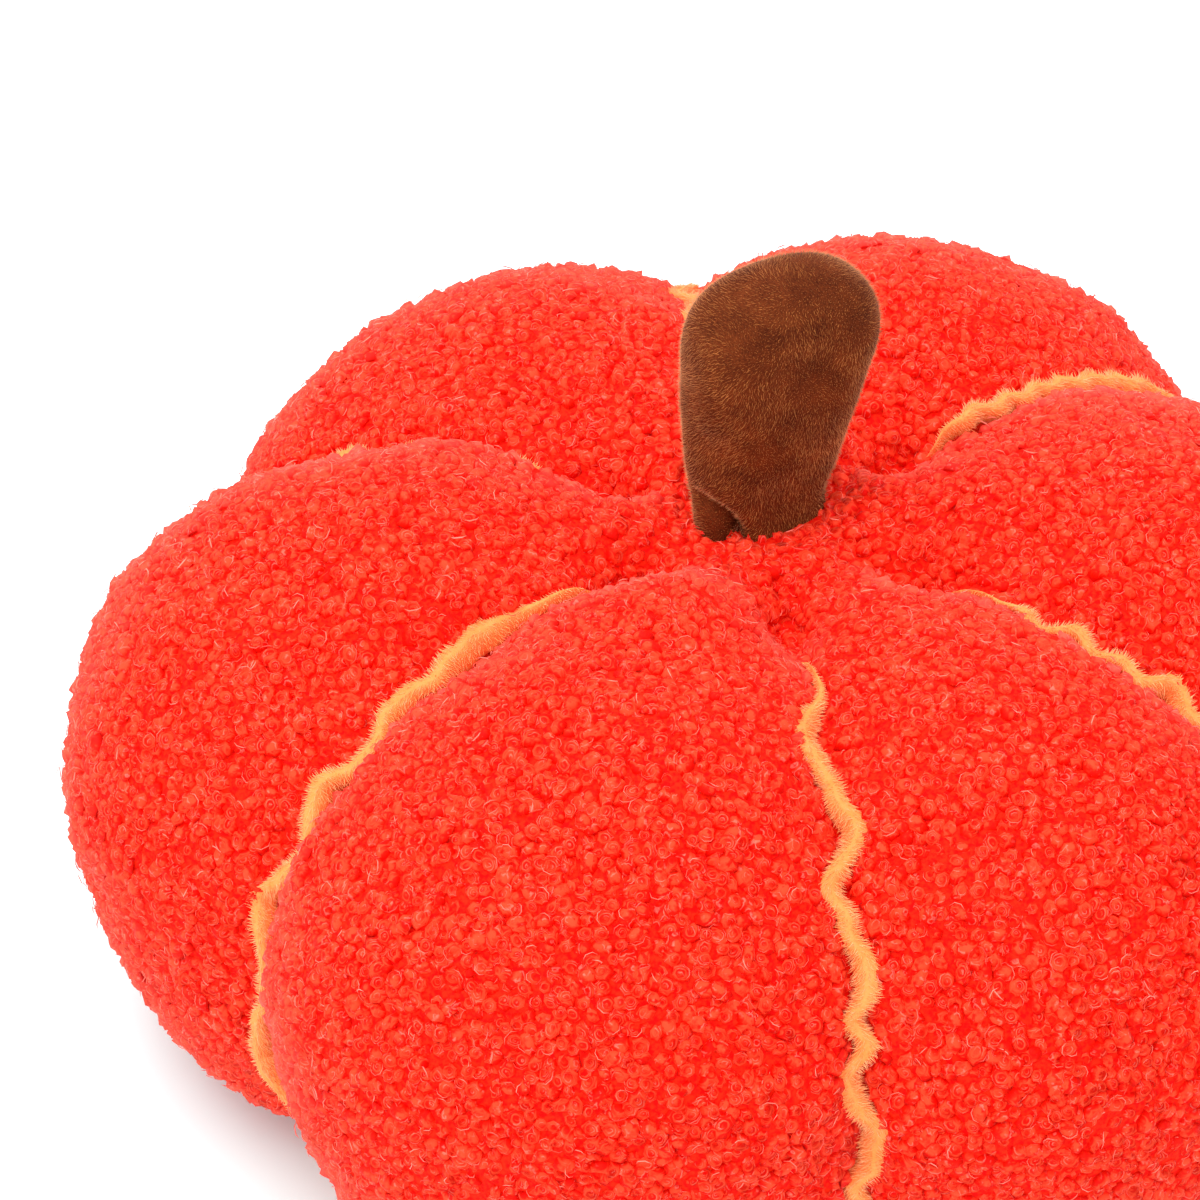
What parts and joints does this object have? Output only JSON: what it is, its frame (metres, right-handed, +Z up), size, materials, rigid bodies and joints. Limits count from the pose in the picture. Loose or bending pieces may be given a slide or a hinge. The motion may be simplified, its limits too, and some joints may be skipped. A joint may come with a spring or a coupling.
{
  "type": "pumpkin cushion",
  "caption": "Plump lobed pumpkin cushion in curly red-orange fleece, with ruffled orange trims in its seams and a stuffed brown stem.",
  "frame": {"origin": "middle of the cushion's footprint, on the surface it rests on", "axes": "+Z up along the stem, -Y towards the viewer of the picture, +X to the viewer's right"},
  "size_m": [0.3993, 0.3882, 0.2469],
  "materials": {
    "fleece": "thick curly fleece, matt",
    "trim_plush": "short plush pile",
    "stem_plush": "dense short plush pile with a soft sheen"
  },
  "bodies": {
    "root": {"cushion_body": "fleece", "trim_front": "trim_plush", "trim_front_left": "trim_plush", "trim_front_right": "trim_plush", "trim_back": "trim_plush", "trim_back_left": "trim_plush", "trim_back_right": "trim_plush", "stem": "stem_plush"}
  },
  "joints": []
}
